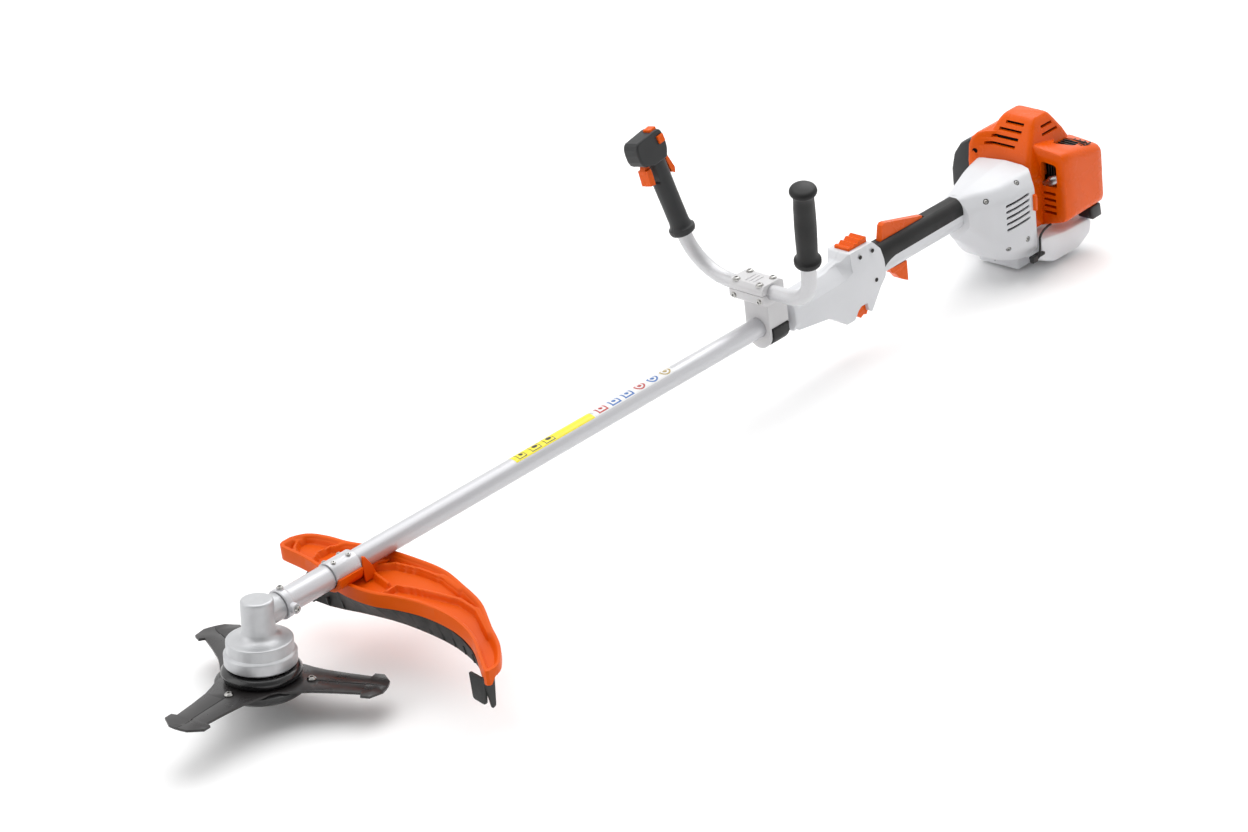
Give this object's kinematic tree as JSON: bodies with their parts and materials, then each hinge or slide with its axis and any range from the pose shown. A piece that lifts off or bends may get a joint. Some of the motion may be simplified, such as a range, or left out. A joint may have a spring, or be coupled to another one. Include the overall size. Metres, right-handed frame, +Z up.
{
  "type": "brush cutter",
  "caption": "Petrol brush cutter: straight shaft, leaning gear head with a three-arm blade, orange guard, bicycle handlebar, rear grip and covered engine.",
  "frame": {"origin": "centre of the flat bottom face of the support foot under the engine", "axes": "+X along the drive tube from the gear head towards the engine, +Z up, +Y towards the operator's right-hand throttle grip"},
  "size_m": [1.7182, 0.447, 0.3929],
  "materials": {
    "cast": "satin cast",
    "steel": "ground",
    "tube": "silver painted",
    "bar": "silver painted",
    "blade": "dark lacquer",
    "hub": "black gloss",
    "orange": "glossy moulded",
    "orange_matte": "moulded",
    "skirt": "textured",
    "white": "fine moulded",
    "clamp": "powder coat",
    "grip": "fine grain",
    "control": "fine grain",
    "tank": "milky translucent",
    "screws": "zinc plated",
    "dark_steel": "machined",
    "hose": "smooth"
  },
  "bodies": {
    "frame": {"gear_case": "cast", "gear_bearings": "steel", "neck_sleeve": "tube", "neck_screws": "screws", "drive_tube": "tube", "tube_bushes": "dark_steel", "shield_clamp": "tube", "shield": "orange_matte", "skirt": "skirt", "skirt_knife": "skirt", "handle_mount": "clamp", "bar_clamp_cap": "clamp", "bar_clamp_bolts": "screws", "mount_damper": "control", "harness_eyelet": "screws", "housing_left": "white", "housing_right": "white", "housing_screws": "screws", "rear_handle": "white", "rear_grip": "grip", "fan_shroud": "white", "support_foot": "white", "crankcase": "cast", "cylinder": "cast", "muffler": "dark_steel", "spark_plug": "screws", "plug_boot": "hose", "carburettor": "cast", "top_cover": "orange", "muffler_cover": "orange", "filter_cover": "control", "starter_housing": "control", "fuel_tank": "tank", "fuel_line": "hose"},
    "output": {"spindle": "steel", "thrust_plate": "hub", "blade": "blade", "blade_cup": "hub", "blade_screws": "screws", "blade_nut": "steel"},
    "drive": {"drive_shaft": "steel", "clutch_drum": "steel"},
    "crank": {"crankshaft": "steel", "flywheel_fan": "cast", "clutch_shoes": "dark_steel"},
    "piston": {"piston": "cast"},
    "bar": {"handlebar": "bar", "plain_grip": "grip", "throttle_shell_inner": "control", "throttle_shell_outer": "control"},
    "throttle_trigger": {"throttle_trigger": "orange"},
    "throttle_lockout": {"throttle_lockout": "orange"},
    "stop_slider": {"stop_slider": "orange"},
    "hold_button": {"hold_button": "orange"},
    "slide_switch": {"slide_switch": "orange"},
    "front_latch": {"front_latch": "orange"},
    "rear_trigger": {"rear_trigger": "orange"},
    "rear_lockout": {"rear_lockout": "orange"},
    "starter_grip": {"starter_grip": "control"},
    "fuel_cap": {"fuel_cap": "control"}
  },
  "joints": [
    {"name": "blade_spin", "type": "hinge", "parent": "frame", "child": "output", "pos_m": [-1.43, 0, 0.117], "axis": [0.1219, 0, 0.9925], "continuous": true},
    {"name": "shaft_spin", "type": "hinge", "parent": "frame", "child": "drive", "pos_m": [-1.43, 0, 0.117], "axis": [1, 0, 0], "continuous": true},
    {"name": "crank_spin", "type": "hinge", "parent": "frame", "child": "crank", "pos_m": [0.05, 0, 0.117], "axis": [1, 0, 0], "continuous": true},
    {"name": "piston_stroke", "type": "slide", "parent": "frame", "child": "piston", "axis": [0, 0, -1], "range_m": [0, 0.02]},
    {"name": "handlebar_tilt", "type": "hinge", "parent": "frame", "child": "bar", "pos_m": [-0.535, 0, 0.177], "axis": [0, 1, 0], "range_deg": [-25, 25]},
    {"name": "throttle_trigger_pull", "type": "hinge", "parent": "bar", "child": "throttle_trigger", "pos_m": [-0.58461, 0.13285, 0.35008], "axis": [0, -0.9815, 0.1914], "range_deg": [0, 12]},
    {"name": "throttle_lockout_press", "type": "hinge", "parent": "bar", "child": "throttle_lockout", "pos_m": [-0.55366, 0.13507, 0.36146], "axis": [0, 0.9815, -0.1914], "range_deg": [0, 7]},
    {"name": "stop_slider_move", "type": "slide", "parent": "bar", "child": "stop_slider", "axis": [0.9846, 0.0335, 0.1717], "range_m": [0, 0.006]},
    {"name": "hold_button_press", "type": "slide", "parent": "bar", "child": "hold_button", "axis": [0, 0.9815, -0.1914], "range_m": [0, 0.002]},
    {"name": "slide_switch_move", "type": "slide", "parent": "frame", "child": "slide_switch", "axis": [1, 0, 0], "range_m": [0, 0.007]},
    {"name": "front_latch_swing", "type": "hinge", "parent": "frame", "child": "front_latch", "pos_m": [-0.3395, 0, 0.083], "axis": [0, 1, 0], "range_deg": [0, 8]},
    {"name": "rear_trigger_pull", "type": "hinge", "parent": "frame", "child": "rear_trigger", "pos_m": [-0.264, 0, 0.098], "axis": [0, -1, 0], "range_deg": [0, 11]},
    {"name": "rear_lockout_press", "type": "hinge", "parent": "frame", "child": "rear_lockout", "pos_m": [-0.191, 0, 0.1375], "axis": [0, -1, 0], "range_deg": [0, 4]},
    {"name": "starter_pull", "type": "slide", "parent": "frame", "child": "starter_grip", "axis": [0, 1, 0], "range_m": [0, 0.017]},
    {"name": "fuel_cap_turn", "type": "hinge", "parent": "frame", "child": "fuel_cap", "pos_m": [0.106, 0.076, 0.033], "axis": [0, 1, 0], "range_deg": [0, 300]}
  ],
  "couplings": [
    {"joint": "shaft_spin", "follows": "blade_spin", "ratio": 1.3571}
  ]
}
